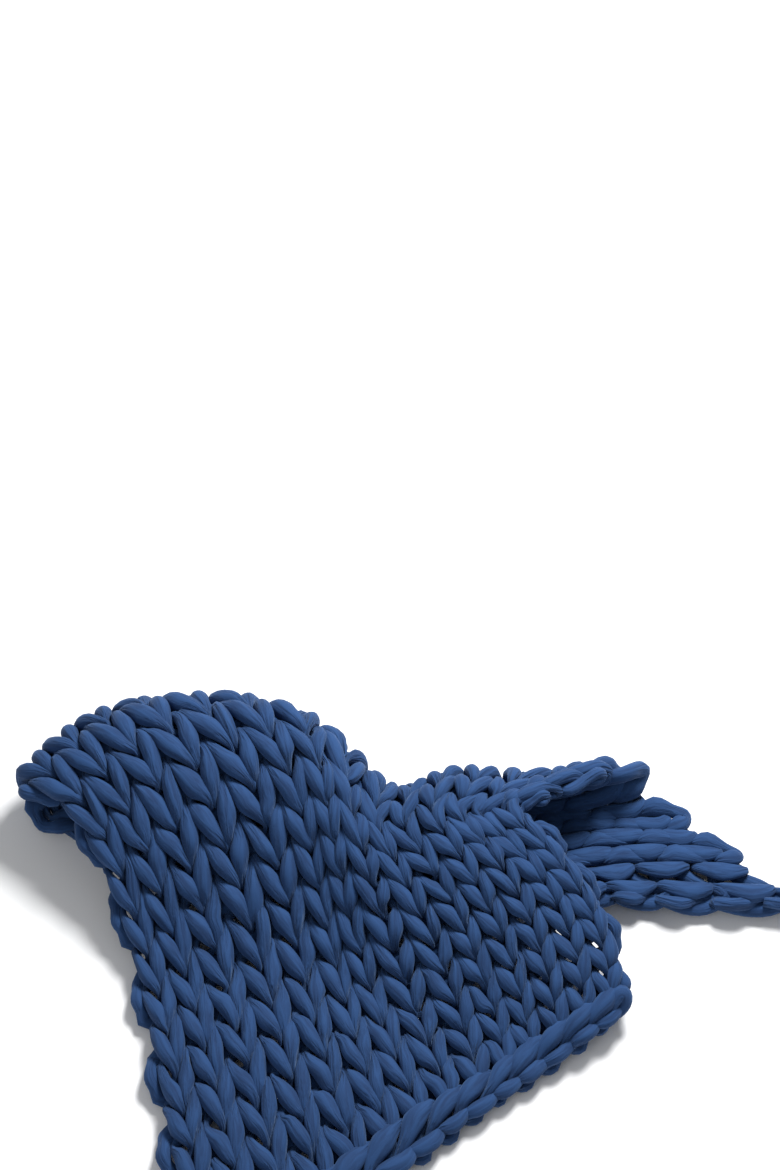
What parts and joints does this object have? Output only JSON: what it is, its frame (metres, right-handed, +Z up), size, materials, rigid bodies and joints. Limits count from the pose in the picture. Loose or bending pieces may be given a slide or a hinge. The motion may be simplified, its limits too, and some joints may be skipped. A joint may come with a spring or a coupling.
{
  "type": "weighted blanket",
  "caption": "Chunky hand-knitted weighted blanket of thick stuffed cotton tube yarn, lying folded over once with a raised, skewed fold.",
  "frame": {"origin": "centre of the bounding box in plan, on the surface that the blanket lies on", "axes": "+X to the right along the longest side, +Y from the front edge towards the fold, +Z up"},
  "size_m": [1.2602, 1.0022, 0.203],
  "materials": {
    "cotton_tube_yarn": "matte knitted cotton jersey"
  },
  "bodies": {
    "root": {"knit_blanket": "cotton_tube_yarn"}
  },
  "joints": []
}
